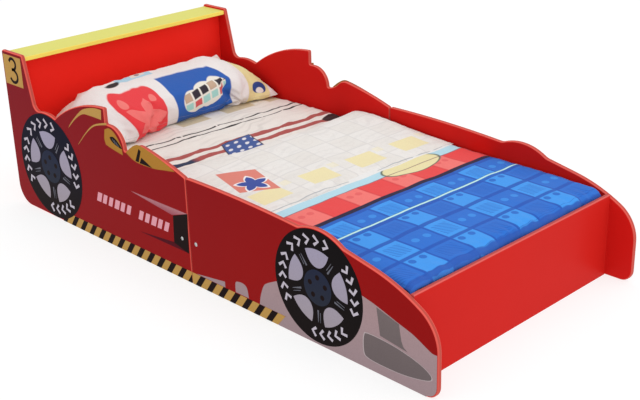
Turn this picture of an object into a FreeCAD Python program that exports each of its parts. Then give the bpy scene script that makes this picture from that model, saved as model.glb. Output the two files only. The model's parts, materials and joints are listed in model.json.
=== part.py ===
"""Toddler bed shaped like a racing car: flat boards, slatted base, mattress and bedding.

Millimetres, +Z up, +X towards the nose (the foot end). The origin is on the floor at the
centre of the bed's footprint. Distances along the bed are written from the rear edge of the
side boards, which is how a carpenter would mark them out, and place() moves the finished
piece into the bed's own frame.
"""
import FreeCAD, Part
import math
import os

os.makedirs("parts", exist_ok=True)
V = FreeCAD.Vector

# Driving dimensions, from which the rest follow.
LENGTH = 1618.0
WIDTH = 745.0
BOARD = 12.0
EDGE_ROUND = 3.5
FIN_TOP = 462.0
SEAM_X = 816.5
SEAM_GAP = 0.6

# The side board's outline is drawn round two large printed wheels.
REAR_WHEEL = (195.0, 156.0)
REAR_ARCH_R = 159.0
FRONT_WHEEL = (1271.0, 143.5)
FRONT_ARCH_R = 142.0
COWL_CENTRE = (510.0, 292.0)
COWL_R = 57.0

# Cross boards.
HEADBOARD_X = 63.0
FOOTBOARD_X = 1530.5
FOOTBOARD_TOP = 215.0
SHELF_BACK_X = 2.0
SHELF_FRONT_X = 104.0
SHELF_Z = 443.0

# Slatted base.
RAIL_WIDE = 20.0
RAIL_TALL = 34.0
RAIL_TOP = 127.0
SLAT_COUNT = 12
SLAT_WIDE = 75.0
SLAT_THICK = 10.0
SLAT_FIRST_X = 118.0
SLAT_LAST_X = 1508.0
SLAT_HALF_LONG = 358.0
BLOCK_BOTTOM = 10.0

# Fasteners. Every hole is a little wider than what goes in it.
HOLE_PLAY = 0.04
BOLT_R = 3.0
BOLT_HEAD_R = 5.4
BOLT_HEAD_TALL = 2.6
BOLT_Z = 115.0
BOLT_MID_X = 814.0
BOLT_SPREAD = 27.0
WASHER_R = 6.2
WASHER_THICK = 1.2
NUT_ACROSS_FLATS = 10.0
NUT_THICK = 5.0
SCREW_R = 1.75
SCREW_HEAD_R = 3.6
SCREW_HEAD_TALL = 2.4
SCREW_LONG = 28.0
SLIM_DOWEL_R = 3.0
FAT_DOWEL_R = 4.0
SEAM_DOWEL_ZS = (62.0, 228.0)
FIN_DOWEL_XS = (28.0, 84.0)
HEADBOARD_DOWEL_YS = (-240.0, 0.0, 240.0)

# Bedding.
MATTRESS_LONG = 1400.0
MATTRESS_WIDE = 700.0
MATTRESS_X = 118.0
MATTRESS_TOP = 220.0
SHEET_THICK = 1.0
SOFT_GAP = 0.3
DUVET_X = (606.0, 1529.5)
DUVET_HALF_WIDE = 357.0
PILLOW_X = (SHELF_FRONT_X + 2.0, 372.0)
PILLOW_Y = (-316.0, 352.0)
PILLOW_TOP = 346.0

INNER_Y = WIDTH / 2 - BOARD
BOARD_MID_Y = WIDTH / 2 - BOARD / 2
RAIL_MID_Y = INNER_Y - RAIL_WIDE / 2
HEADBOARD_FRONT_X = HEADBOARD_X + BOARD
SLAT_TOP = RAIL_TOP + SLAT_THICK
SLAT_PITCH = (SLAT_LAST_X - SLAT_FIRST_X - SLAT_WIDE) / (SLAT_COUNT - 1)
SLAT_CENTRES = [SLAT_FIRST_X + SLAT_WIDE / 2 + SLAT_PITCH * i for i in range(SLAT_COUNT)]
BOLT_XS = (BOLT_MID_X - BOLT_SPREAD, BOLT_MID_X + BOLT_SPREAD)
RAIL_SCREW_XS = [SLAT_CENTRES[i] + SLAT_PITCH / 2 for i in (0, 3, 7, 10)]
SIDES = {"near": -1, "far": 1}
SHEET_TOP = MATTRESS_TOP + SOFT_GAP + SHEET_THICK
BEDDING_Z = SHEET_TOP + SOFT_GAP


def block(x0, x1, y0, y1, z0, z1):
    """A plain box between two corners."""
    return Part.makeBox(x1 - x0, y1 - y0, z1 - z0, V(x0, y0, z0))


def rod(radius, start, end):
    """A round bar from one point to another."""
    along = V(*end) - V(*start)
    return Part.makeCylinder(radius, along.Length, V(*start), along)


def outline(start, steps):
    """A closed face in the XZ plane. A step is the next point, or an arc's middle and end."""
    edges = []
    here = start
    for step in steps + [(start,)]:
        end = step[-1]
        a = V(here[0], 0, here[1])
        b = V(end[0], 0, end[1])
        if len(step) == 2:
            edges.append(Part.Arc(a, V(step[0][0], 0, step[0][1]), b).toShape())
        elif (b - a).Length > 1e-6:
            edges.append(Part.makeLine(a, b))
        here = end
    return Part.Face(Part.Wire(edges))


def on_circle(centre, radius, x):
    """The point of a circle's upper half at distance x along the bed."""
    return (x, centre[1] + math.sqrt(radius ** 2 - (x - centre[0]) ** 2))


def bend(start, radius, angle, end_angle):
    """Middle and end of a downhill arc that steepens from one slope to another, in degrees."""
    points = []
    for degrees in ((angle + end_angle) / 2, end_angle):
        x = start[0] + radius * (math.sin(math.radians(degrees)) - math.sin(math.radians(angle)))
        z = start[1] - radius * (math.cos(math.radians(angle)) - math.cos(math.radians(degrees)))
        points.append((x, z))
    return tuple(points)


def round_corner(solid, x, z, radius):
    """Round the corner of a board that runs across it at one point of the outline."""
    found = []
    for edge in solid.Edges:
        ends = [v.Point for v in edge.Vertexes]
        if len(ends) == 2 and all(math.hypot(p.x - x, p.z - z) < 0.01 for p in ends):
            found.append(edge)
    return solid.makeFillet(radius, found)


def soften(solid, radius, keep):
    """Round the long edges of both faces of a board, where keep(middle point) is true."""
    chosen = []
    for edge in solid.Edges:
        middle = edge.valueAt((edge.FirstParameter + edge.LastParameter) / 2)
        levels = [v.Point.y for v in edge.Vertexes] + [middle.y]
        on_face = any(all(abs(y - face_y) < 1e-4 for y in levels) for face_y in (0, BOARD))
        if on_face and keep(middle):
            chosen.append(edge)
    return solid.makeFillet(radius, chosen)


def rear_board():
    """Rear half of a side: fin, arch over the rear wheel, roof, cowl and bonnet hump."""
    foot = on_circle(REAR_WHEEL, REAR_ARCH_R, 163.0)
    cusp = on_circle(REAR_WHEEL, REAR_ARCH_R, 244.0)
    cowl_top = COWL_CENTRE[1] + COWL_R
    cowl_end = (COWL_CENTRE[0] + COWL_R, COWL_CENTRE[1])
    cowl_mid = (COWL_CENTRE[0] + COWL_R * math.sin(math.radians(45)),
                COWL_CENTRE[1] + COWL_R * math.cos(math.radians(45)))
    end = SEAM_X - SEAM_GAP / 2
    face = outline((0, 0), [
        ((0, FIN_TOP),),
        ((106, FIN_TOP),),
        ((141, foot[1]),),
        (foot,),
        (on_circle(REAR_WHEEL, REAR_ARCH_R, 200.0), cusp),
        ((352, 365), (492, 392)),
        ((492, cowl_top),),
        ((COWL_CENTRE[0], cowl_top),),
        (cowl_mid, cowl_end),
        ((590, 297.5), (612, 311.5)),
        ((628, 321.5), (650, 323.5)),
        ((722, 309.5), (end, 283)),
        ((end, 0),),
    ])
    solid = face.extrude(V(0, BOARD, 0))
    corners = ((0, 0, 58), (0, FIN_TOP, 7), (106, FIN_TOP, 7), (141, foot[1], 22),
               (cusp[0], cusp[1], 5), (492, 392, 5), (492, cowl_top, 4),
               (cowl_end[0], cowl_end[1], 4.5), (end, 283, 8))
    for x, z, radius in corners:
        solid = round_corner(solid, x, z, radius)
    return soften(solid, EDGE_ROUND, lambda p: p.z > 0.5 and p.x < end - 0.5)


def front_board():
    """Front half of a side: arch over the front wheel and the long rounded nose."""
    start = SEAM_X + SEAM_GAP / 2
    arch_start = on_circle(FRONT_WHEEL, FRONT_ARCH_R, 1212.0)
    arch_end = on_circle(FRONT_WHEEL, FRONT_ARCH_R, 1350.0)
    hood_end = (1436.0, arch_end[1] - (1436.0 - arch_end[0]) * math.tan(math.radians(11)))
    nose = bend(hood_end, 427.0, 11, 30)
    tip = bend(nose[1], (LENGTH - nose[1][0]) / (1 - math.sin(math.radians(30))), 30, 90)
    face = outline((start, 0), [
        ((start, 284.5),),
        ((1010, 283.5), arch_start),
        (on_circle(FRONT_WHEEL, FRONT_ARCH_R, 1275.0), arch_end),
        (hood_end,),
        nose,
        tip,
        ((LENGTH, 0),),
    ])
    solid = face.extrude(V(0, BOARD, 0))
    corners = ((start, 284.5, 8), (arch_start[0], arch_start[1], 30),
               (arch_end[0], arch_end[1], 30), (LENGTH, 0, 31))
    for x, z, radius in corners:
        solid = round_corner(solid, x, z, radius)
    return soften(solid, EDGE_ROUND, lambda p: p.z > 0.5 and p.x > start + 0.5)


def side_holes(side):
    """Everything drilled into one side board, in line with the rails, blocks and shelf."""
    drills = []
    for x in BOLT_XS:
        drills.append(rod(BOLT_R + HOLE_PLAY, (x, side * (INNER_Y - 1), BOLT_Z),
                          (x, side * (WIDTH / 2 + 1), BOLT_Z)))
    drills += [screw_hole(*spec) for spec in side_screws(side)]
    for z in SEAM_DOWEL_ZS:
        drills.append(seam_dowel(side, z, HOLE_PLAY))
    for x in FIN_DOWEL_XS:
        drills.append(fin_dowel(side, x, HOLE_PLAY))
    return drills


def cut_all(solid, tools):
    """Take every tool that reaches the solid away from it."""
    return solid.cut(Part.makeCompound(tools)).Solids[0]


def screw(head, direction):
    """A countersunk wood screw whose head is flush at the point head."""
    start = V(*head)
    along = V(*direction)
    cone = Part.makeCone(SCREW_HEAD_R, SCREW_R, SCREW_HEAD_TALL, start, along)
    shank = Part.makeCylinder(SCREW_R, SCREW_LONG - 4, start, along)
    tip = Part.makeCone(SCREW_R, 0.3, 4, start + along * (SCREW_LONG - 4), along)
    cross = Part.makeBox(4.0, 0.9, 1.4, V(-2.0, -0.45, 0))
    cross = cross.fuse(Part.makeBox(0.9, 4.0, 1.4, V(-0.45, -2.0, 0)))
    cross.Placement = FreeCAD.Placement(start, FreeCAD.Rotation(V(0, 0, 1), along))
    return cone.fuse([shank, tip]).removeSplitter().cut(cross)


def screw_hole(head, direction):
    """The hole for a screw: a shade wider, and a little deeper than the point."""
    start = V(*head)
    along = V(*direction)
    play = HOLE_PLAY
    cone = Part.makeCone(SCREW_HEAD_R + play, SCREW_R + play, SCREW_HEAD_TALL, start, along)
    return cone.fuse(Part.makeCylinder(SCREW_R + play, SCREW_LONG + 0.5, start, along))


def slat_screws():
    """Head and direction of the two screws in each slat."""
    return [((x, side * RAIL_MID_Y, SLAT_TOP), (0, 0, -1))
            for x in SLAT_CENTRES for side in SIDES.values()]


def side_screws(side):
    """Screws that go into one side board through its rail and its corner blocks."""
    xs = [(x, BOLT_Z) for x in RAIL_SCREW_XS]
    for block_x in (HEADBOARD_FRONT_X, FOOTBOARD_X - RAIL_WIDE):
        xs += [(block_x + RAIL_WIDE / 2, z) for z in (30.0, 70.0)]
    return [((x, side * (INNER_Y - RAIL_WIDE), z), (0, side, 0)) for x, z in xs]


def end_screws(end):
    """Screws that go into the headboard (-1) or footboard (+1) through the corner blocks."""
    x = HEADBOARD_FRONT_X + RAIL_WIDE if end < 0 else FOOTBOARD_X - RAIL_WIDE
    return [((x, side * RAIL_MID_Y, z), (end, 0, 0))
            for side in SIDES.values() for z in (50.0, 100.0)]


def seam_dowel(side, z, play=0.0):
    """A slim dowel that lines up the two halves of a side board."""
    y = side * BOARD_MID_Y
    reach = 11.0 + play * 10
    return rod(SLIM_DOWEL_R + play, (SEAM_X - reach, y, z), (SEAM_X + reach, y, z))


def fin_dowel(side, x, play=0.0):
    """A slim dowel that holds one end of the shelf in its fin."""
    z = SHELF_Z + BOARD / 2
    reach = 8.0 + play * 10
    return rod(SLIM_DOWEL_R + play, (x, side * (INNER_Y - reach), z),
               (x, side * (INNER_Y + reach), z))


def headboard_dowel(y, play=0.0):
    """A fat dowel that stands in the headboard's top edge and enters the shelf."""
    x = HEADBOARD_X + BOARD / 2
    reach = play * 10
    return rod(FAT_DOWEL_R + play, (x, y, SHELF_Z - 18 - reach), (x, y, SHELF_Z + 8 + reach))


def headboard():
    """The upright board behind the pillow."""
    solid = block(HEADBOARD_X, HEADBOARD_FRONT_X, -INNER_Y, INNER_Y, 0, SHELF_Z)
    drills = [screw_hole(*spec) for spec in end_screws(-1)]
    drills += [headboard_dowel(y, HOLE_PLAY) for y in HEADBOARD_DOWEL_YS]
    return cut_all(solid, drills)


def footboard():
    """The cross board set back behind the nose, its top edge rounded."""
    solid = block(FOOTBOARD_X, FOOTBOARD_X + BOARD, -INNER_Y, INNER_Y, 0, FOOTBOARD_TOP)
    tops = [e for e in solid.Edges if e.BoundBox.ZMin > FOOTBOARD_TOP - 1 and e.Length > 100]
    solid = solid.makeFillet(EDGE_ROUND, tops)
    return cut_all(solid, [screw_hole(*spec) for spec in end_screws(1)])


def spoiler_shelf():
    """The flat shelf between the fins, like a racing car's rear wing."""
    top = SHELF_Z + BOARD
    solid = block(SHELF_BACK_X, SHELF_FRONT_X, -INNER_Y, INNER_Y, SHELF_Z, top)
    solid = solid.makeFillet(2.0, [e for e in solid.Edges if e.Length > 500])
    drills = [headboard_dowel(y, HOLE_PLAY) for y in HEADBOARD_DOWEL_YS]
    drills += [fin_dowel(side, x, HOLE_PLAY) for side in SIDES.values() for x in FIN_DOWEL_XS]
    return cut_all(solid, drills)


def rail(side):
    """The batten along one side that carries the slats and ties the board's halves together."""
    ys = sorted((side * INNER_Y, side * (INNER_Y - RAIL_WIDE)))
    x0 = HEADBOARD_FRONT_X + RAIL_WIDE
    solid = block(x0, FOOTBOARD_X - RAIL_WIDE, ys[0], ys[1], RAIL_TOP - RAIL_TALL, RAIL_TOP)
    drills = [screw_hole(*spec) for spec in side_screws(side)[:len(RAIL_SCREW_XS)]]
    drills += [screw_hole(*spec) for spec in slat_screws()]
    for x in BOLT_XS:
        drills.append(rod(BOLT_R + HOLE_PLAY, (x, ys[0] - 1, BOLT_Z), (x, ys[1] + 1, BOLT_Z)))
    return cut_all(solid, drills)


def corner_block(side, end):
    """The upright block that joins a side board to the headboard or the footboard."""
    ys = sorted((side * INNER_Y, side * (INNER_Y - RAIL_WIDE)))
    x0 = HEADBOARD_FRONT_X if end < 0 else FOOTBOARD_X - RAIL_WIDE
    solid = block(x0, x0 + RAIL_WIDE, ys[0], ys[1], BLOCK_BOTTOM, RAIL_TOP)
    return cut_all(solid, [screw_hole(*spec) for spec in side_screws(side) + end_screws(end)])


def slat(centre_x):
    """One slat of the base, its long edges eased."""
    half = SLAT_WIDE / 2
    solid = block(centre_x - half, centre_x + half, -SLAT_HALF_LONG, SLAT_HALF_LONG,
                  RAIL_TOP, SLAT_TOP)
    solid = solid.makeFillet(1.5, [e for e in solid.Edges if e.Length > 500])
    return cut_all(solid, [screw_hole(*spec) for spec in slat_screws()])


def seam_bolt(side, x):
    """A domed socket-head bolt through the board and the rail."""
    face = WIDTH / 2
    ball_r = (BOLT_HEAD_R ** 2 + BOLT_HEAD_TALL ** 2) / (2 * BOLT_HEAD_TALL)
    ball = Part.makeSphere(ball_r, V(x, side * (face + BOLT_HEAD_TALL - ball_r), BOLT_Z))
    head = ball.common(rod(BOLT_HEAD_R + 1, (x, side * face, BOLT_Z),
                           (x, side * (face + BOLT_HEAD_TALL), BOLT_Z)))
    socket = hexagon(4.0, x, side * (face + 1.0), BOLT_Z, side * 3.0)
    end = INNER_Y - RAIL_WIDE - WASHER_THICK - NUT_THICK - 1.0
    shank = rod(BOLT_R, (x, side * (face + 0.5), BOLT_Z), (x, side * end, BOLT_Z))
    return head.cut(socket).fuse(shank).removeSplitter()


def hexagon(across_flats, x, y, z, depth):
    """A six-sided prism along Y."""
    radius = across_flats / math.sqrt(3)
    points = [V(x + radius * math.cos(math.radians(60 * i)), y,
                z + radius * math.sin(math.radians(60 * i))) for i in range(7)]
    return Part.Face(Part.makePolygon(points)).extrude(V(0, depth, 0))


def washer(side, x):
    """The plain washer between the rail and the nut."""
    y = side * (INNER_Y - RAIL_WIDE)
    ring = rod(WASHER_R, (x, y, BOLT_Z), (x, y - side * WASHER_THICK, BOLT_Z))
    return ring.cut(rod(BOLT_R + HOLE_PLAY, (x, y + side, BOLT_Z), (x, y - side * 3, BOLT_Z)))


def nut(side, x):
    """The hexagon nut on the inner end of a seam bolt."""
    y = side * (INNER_Y - RAIL_WIDE - WASHER_THICK)
    solid = hexagon(NUT_ACROSS_FLATS, x, y, BOLT_Z, -side * NUT_THICK)
    hole = rod(BOLT_R + HOLE_PLAY, (x, y + side, BOLT_Z), (x, y - side * (NUT_THICK + 1), BOLT_Z))
    return solid.cut(hole)


def soft_box(x0, x1, half_wide, z0, z1, corner, edge):
    """A foam block with rounded upright corners and softened top and bottom edges."""
    solid = block(x0, x1, -half_wide, half_wide, z0, z1)
    uprights = [e for e in solid.Edges if abs(e.tangentAt(e.FirstParameter).z) > 0.9]
    solid = solid.makeFillet(corner, uprights)
    rims = [e for e in solid.Edges if e.BoundBox.ZLength < 1e-6]
    return solid.makeFillet(edge, rims)


def mattress():
    """The standard 1400 x 700 foam mattress, lying on the slats."""
    return soft_box(MATTRESS_X, MATTRESS_X + MATTRESS_LONG, MATTRESS_WIDE / 2,
                    SLAT_TOP + SOFT_GAP, MATTRESS_TOP, 30, 12)


def fitted_sheet():
    """The cotton cover pulled over the mattress, open underneath."""
    near = SOFT_GAP
    far = SOFT_GAP + SHEET_THICK
    end = MATTRESS_X + MATTRESS_LONG
    low = SLAT_TOP - 40
    half = MATTRESS_WIDE / 2
    outer = soft_box(MATTRESS_X - far, end + far, half + far, low, MATTRESS_TOP + far,
                     30 + far, 12 + far)
    inner = soft_box(MATTRESS_X - near, end + near, half + near, low, MATTRESS_TOP + near,
                     30 + near, 12 + near)
    hem = block(0, LENGTH, -WIDTH, WIDTH, 0, SLAT_TOP + 14)
    return outer.cut(inner).cut(hem).Solids[0]


def duvet():
    """The duvet, thick where its top end is folded back and flat towards the foot."""
    x0, x1 = DUVET_X
    face = outline((x0, BEDDING_Z), [
        ((630, 247), (692, 258)),
        ((880, 247), (1100, 235)),
        ((1330, 231), (1500, 226)),
        ((1520, 225), (x1, BEDDING_Z + 0.5)),
        ((x1, BEDDING_Z),),
    ])
    solid = face.extrude(V(0, 2 * DUVET_HALF_WIDE, 0))
    solid.translate(V(0, -DUVET_HALF_WIDE, 0))
    return solid


def pillow_section(y, fullness):
    """The pillow's outline across its depth: 1 is the plump middle, less towards an end."""
    x0, x1 = PILLOW_X
    pull_in = 10 * (1 - fullness)
    front = x1 - pull_in
    back = x0 + pull_in
    z0 = BEDDING_Z
    tall = (PILLOW_TOP - z0) * fullness
    crest = back + 0.36 * (front - back)
    wire = [
        Part.makeLine(V(back, y, z0), V(back, y, z0 + 0.2 * tall)),
        Part.Arc(V(back, y, z0 + 0.2 * tall), V(back + 0.12 * (front - back), y, z0 + 0.82 * tall),
                 V(crest, y, z0 + tall)).toShape(),
        Part.Arc(V(crest, y, z0 + tall), V(crest + 0.38 * (front - back), y, z0 + 0.72 * tall),
                 V(front, y, z0 + 0.12 * tall)).toShape(),
        Part.makeLine(V(front, y, z0 + 0.12 * tall), V(front, y, z0)),
        Part.makeLine(V(front, y, z0), V(back, y, z0)),
    ]
    return Part.Wire(wire)


def pillow():
    """The pillow, domed from front to back and thinner towards both ends."""
    y0, y1 = PILLOW_Y
    sections = []
    for i in range(7):
        across = i / 3.0 - 1
        fullness = 1 - 0.62 * abs(across) ** 3
        sections.append(pillow_section(y0 + (y1 - y0) * (across + 1) / 2, fullness))
    return Part.makeLoft(sections, True, False)


def place(shape):
    """Move a piece marked out from the rear edge into the bed's own frame."""
    moved = shape.copy()
    moved.translate(V(-LENGTH / 2, 0, 0))
    return moved


def side_board(make, side):
    """One half of a side, drilled, standing on its own side of the bed."""
    solid = make()
    solid.translate(V(0, INNER_Y if side > 0 else -WIDTH / 2, 0))
    return cut_all(solid, side_holes(side))


def build():
    """Every piece of the bed, by the name of its node."""
    nodes = {
        "headboard": headboard(),
        "footboard": footboard(),
        "spoiler_shelf": spoiler_shelf(),
        "mattress": mattress(),
        "fitted_sheet": fitted_sheet(),
        "duvet": duvet(),
        "pillow": pillow(),
    }
    for name, side in SIDES.items():
        nodes["side_rear_" + name] = side_board(rear_board, side)
        nodes["side_front_" + name] = side_board(front_board, side)
        nodes["rail_" + name] = rail(side)
        nodes["corner_block_head_" + name] = corner_block(side, -1)
        nodes["corner_block_foot_" + name] = corner_block(side, 1)
    for i, centre_x in enumerate(SLAT_CENTRES):
        nodes["slat_%02d" % (i + 1)] = slat(centre_x)

    bolts = [(side, x) for side in SIDES.values() for x in BOLT_XS]
    groups = {
        "seam_bolts": [seam_bolt(*at) for at in bolts],
        "seam_washers": [washer(*at) for at in bolts],
        "seam_nuts": [nut(*at) for at in bolts],
        "slat_screws": [screw(*spec) for spec in slat_screws()],
        "side_screws": [screw(*spec) for side in SIDES.values() for spec in side_screws(side)],
        "end_screws": [screw(*spec) for end in (-1, 1) for spec in end_screws(end)],
        "seam_dowels": [seam_dowel(side, z) for side in SIDES.values() for z in SEAM_DOWEL_ZS],
        "fin_dowels": [fin_dowel(side, x) for side in SIDES.values() for x in FIN_DOWEL_XS],
        "headboard_dowels": [headboard_dowel(y) for y in HEADBOARD_DOWEL_YS],
    }
    for name, solids in groups.items():
        nodes[name] = Part.makeCompound(solids)
    return nodes


for node, shape in build().items():
    place(shape).exportStep("parts/%s.step" % node)
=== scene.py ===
"""Looks of the toddler bed shaped like a racing car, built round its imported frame.

Metres, +Z up, +X towards the nose. Artwork is laid out in millimetres: along the bed from the
side boards' rear edge, and up from the floor or across from the bed's centre line.
"""
import json
import math

import bmesh
import bpy
import numpy as np
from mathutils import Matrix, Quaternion, Vector


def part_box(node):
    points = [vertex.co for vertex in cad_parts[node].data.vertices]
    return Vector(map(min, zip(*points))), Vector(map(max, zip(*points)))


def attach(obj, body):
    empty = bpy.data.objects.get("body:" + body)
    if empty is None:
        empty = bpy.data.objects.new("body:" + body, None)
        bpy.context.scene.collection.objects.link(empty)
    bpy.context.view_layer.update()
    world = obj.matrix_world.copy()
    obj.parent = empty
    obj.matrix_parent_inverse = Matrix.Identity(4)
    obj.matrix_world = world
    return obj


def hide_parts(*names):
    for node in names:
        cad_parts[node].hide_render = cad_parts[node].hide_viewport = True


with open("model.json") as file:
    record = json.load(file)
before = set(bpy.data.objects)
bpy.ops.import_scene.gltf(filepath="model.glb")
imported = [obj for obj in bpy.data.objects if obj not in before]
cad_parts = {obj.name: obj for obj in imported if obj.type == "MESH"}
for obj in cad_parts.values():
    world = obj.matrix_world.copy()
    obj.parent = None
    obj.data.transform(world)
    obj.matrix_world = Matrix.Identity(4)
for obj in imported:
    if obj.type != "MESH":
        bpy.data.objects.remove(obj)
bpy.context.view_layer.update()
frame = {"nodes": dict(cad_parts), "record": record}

MM = 0.001
REAR_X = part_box("side_rear_near")[0].x
OUTER_Y = -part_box("side_rear_near")[0].y
SEAM = (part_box("side_rear_near")[1].x - REAR_X) / MM
SIDES = {"near": -1, "far": 1}
INK_STEP = 0.12 * MM
INK_ROOT = 0.02 * MM
SHADE = {}

# The duvet's folded end is FLAP long, with its fold about FOLD from the boards' rear edge.
FLAP = 0.42
FOLD = 0.64


# Colour and shader maths

def ink(red, green, blue):
    """A screen colour, 0 to 255, as the linear colour a shader wants."""
    out = []
    for value in (red, green, blue):
        share = value / 255
        out.append(share / 12.92 if share <= 0.04045 else ((share + 0.055) / 1.055) ** 2.4)
    return (*out, 1.0)


class Field:
    """A number that varies over a surface, with the shader nodes that work it out."""

    def __init__(self, tree, socket):
        self.tree = tree
        self.socket = socket

    def math(self, operation, *others, clamp=False):
        node = self.tree.nodes.new("ShaderNodeMath")
        node.operation = operation
        node.use_clamp = clamp
        self.tree.links.new(self.socket, node.inputs[0])
        for slot, other in zip(list(node.inputs)[1:], others):
            if isinstance(other, Field):
                self.tree.links.new(other.socket, slot)
            else:
                slot.default_value = other
        return Field(self.tree, node.outputs[0])

    def __add__(self, other):
        return self.math("ADD", other)

    def __sub__(self, other):
        return self.math("SUBTRACT", other)

    def __mul__(self, other):
        return self.math("MULTIPLY", other)

    def __and__(self, other):
        return self.math("MINIMUM", other)

    def __or__(self, other):
        return self.math("MAXIMUM", other)

    def above(self, edge, soft=0.8):
        """1 above an edge and 0 below it, with a short ramp between."""
        return (self - edge).math("MULTIPLY_ADD", 0.5 / soft, 0.5, clamp=True)

    def below(self, edge, soft=0.8):
        return (self - edge).math("MULTIPLY_ADD", -0.5 / soft, 0.5, clamp=True)

    def between(self, low, high, soft=0.8):
        return self.above(low, soft) & self.below(high, soft)

    def wrap(self, pitch, start=0.0):
        """The distance from the last of a row of lines that repeat every pitch."""
        return (self - start).math("WRAP", pitch, 0.0)

    def size(self):
        return self.math("ABSOLUTE")

    def sine(self, wavelength):
        return (self * (math.tau / wavelength)).math("SINE")


def box_field(u, v, u0, u1, v0, v1, soft=0.8):
    return u.between(u0, u1, soft) & v.between(v0, v1, soft)


def distance(u, v, centre_u, centre_v, stretch=1.0):
    """How far a point is from a centre; a stretch above 1 makes the rings long across v."""
    across = (v - centre_v) * (1 / stretch)
    return ((u - centre_u) * (u - centre_u) + across * across).math("SQRT")


def star_field(u, v, centre_u, centre_v, radius):
    """A five-pointed star: a disc whose edge comes and goes with the angle."""
    angle = (u - centre_u).math("ARCTAN2", v - centre_v)
    fold = (angle * (5 / math.tau)).math("PINGPONG", 0.5)
    return (distance(u, v, centre_u, centre_v) + fold * (1.05 * radius)).below(radius)


def noise(tree, vector, scale, detail=2.0, rough=0.5):
    node = tree.nodes.new("ShaderNodeTexNoise")
    node.inputs["Scale"].default_value = scale
    node.inputs["Detail"].default_value = detail
    node.inputs["Roughness"].default_value = rough
    tree.links.new(vector, node.inputs["Vector"])
    return Field(tree, node.outputs["Fac"])


def set_colour(tree, socket, value):
    """Feed a socket from another one, or set it to a linear colour or a screen colour's three."""
    if isinstance(value, bpy.types.NodeSocket):
        tree.links.new(value, socket)
    else:
        socket.default_value = ink(*value) if len(value) == 3 else value


def paint(tree, ground, *layers):
    """Lay colours over a ground colour. Each layer is a mask and a colour."""
    for mask, colour in layers:
        mix = tree.nodes.new("ShaderNodeMix")
        mix.data_type = "RGBA"
        tree.links.new(mask.socket, mix.inputs[0])
        set_colour(tree, mix.inputs[6], ground)
        set_colour(tree, mix.inputs[7], colour)
        ground = mix.outputs[2]
    return ground


def new_material(name, **values):
    """A material, its node tree, its shader set to the given values, and its object's places."""
    material = bpy.data.materials.new(name)
    material.use_nodes = True
    shader = material.node_tree.nodes["Principled BSDF"]
    for key, value in values.items():
        shader.inputs[key.replace("_", " ").title().replace("Ior", "IOR")].default_value = value
    place = material.node_tree.nodes.new("ShaderNodeTexCoord").outputs["Object"]
    return material, material.node_tree, shader, place


def split(tree, vector, scale=1 / MM):
    """The three parts of a vector socket, in millimetres by default."""
    node = tree.nodes.new("ShaderNodeSeparateXYZ")
    tree.links.new(vector, node.inputs[0])
    return [Field(tree, socket) * scale for socket in node.outputs]


def coat(tree, shader, tone, height, depth):
    """Colour a shader, and raise its surface by a height field, depth metres from 0 to 1."""
    tree.links.new(tone, shader.inputs["Base Color"])
    node = tree.nodes.new("ShaderNodeBump")
    node.inputs["Distance"].default_value = depth
    tree.links.new(height.socket, node.inputs["Height"])
    tree.links.new(node.outputs[0], shader.inputs["Normal"])


def orange_peel(tree, place):
    """The faint ripple of sprayed lacquer."""
    return noise(tree, place, 260, 2) + noise(tree, place, 40, 2) * 2


# Boards, timber and metal

def lacquer(name, colour, edge_paint_and_highlight, face_axis, printed=None, edge_depth=0.62):
    """Satin paint on fibreboard, with a painted highlight on the rounded corners of its edges."""
    material, tree, shader, place = new_material(name, roughness=0.34, specular_ior_level=0.03)
    x, y, z = split(tree, place)
    geometry = tree.nodes.new("ShaderNodeNewGeometry")
    normal = split(tree, geometry.outputs["True Normal"], 1.0)
    square_on = normal[face_axis].size()
    clouds = noise(tree, place, 7, 3)
    tone = paint(tree, colour, (clouds.above(0.5, 0.5) * 0.35, darker(colour, 0.86)))
    if printed:
        face = square_on.above(0.995, 0.003) & y.size().above(OUTER_Y / MM - 0.4, 0.3)
        sheet = paint(tree, printed[0], ((z * 0.8 - x * 0.35).above(330, 330) * 0.9, printed[1]),
                      (clouds.above(0.5, 0.4) * 0.3, darker(printed[0], 0.8)))
        tone = paint(tree, tone, (face, sheet))
    # Painted highlight on the rounded edge corners: brightest where they face up, broken into
    # patches like rubbed paint.
    rub = noise(tree, place, 34, 3).above(0.5, 0.35) * 0.4 + 0.6
    upward = normal[2].above(0.35, 0.35)
    edge_rub_and_highlight = square_on.between(0.12, 0.93, 0.06) * rub & upward * 0.7 + 0.3
    tone = paint(tree, tone, (square_on.below(0.93, 0.05), darker(edge_paint_and_highlight, edge_depth)),
                 (edge_rub_and_highlight, edge_paint_and_highlight))
    if printed:
        # The boards' cut ends at the seam: raw fibreboard, darkened as painted shade inside the
        # narrow gap.
        cut_end_and_gap_shade = (x - REAR_X / MM).between(SEAM - 0.5, SEAM + 1.2, 0.2) & square_on.below(0.5, 0.1)
        tone = paint(tree, tone, (cut_end_and_gap_shade, ink(60, 22, 18)))
    coat(tree, shader, tone, orange_peel(tree, place), 0.00005)
    return material


def darker(colour, share):
    return (*[c * share for c in colour[:3]], 1.0)


def timber(name, light, dark, pitch):
    """Planed softwood or dowel stock with grain along its length."""
    material, tree, shader, place = new_material(name, roughness=0.62)
    stretch = tree.nodes.new("ShaderNodeMapping")
    stretch.inputs["Scale"].default_value = (9.0, 0.7, 9.0)
    tree.links.new(place, stretch.inputs[0])
    drift = noise(tree, stretch.outputs[0], 2.2, 3)
    rings = (drift * 24 + noise(tree, place, 11, 2) * 3).math("PINGPONG", 1.0)
    pores = noise(tree, stretch.outputs[0], pitch, 4, 0.7)
    tone = paint(tree, light, (rings.above(0.62, 0.38) * 0.7, dark),
                 (pores.above(0.56, 0.1) * 0.35, darker(dark, 0.7)))
    coat(tree, shader, tone, pores + rings * 0.4, 0.00018)
    return material


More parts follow.
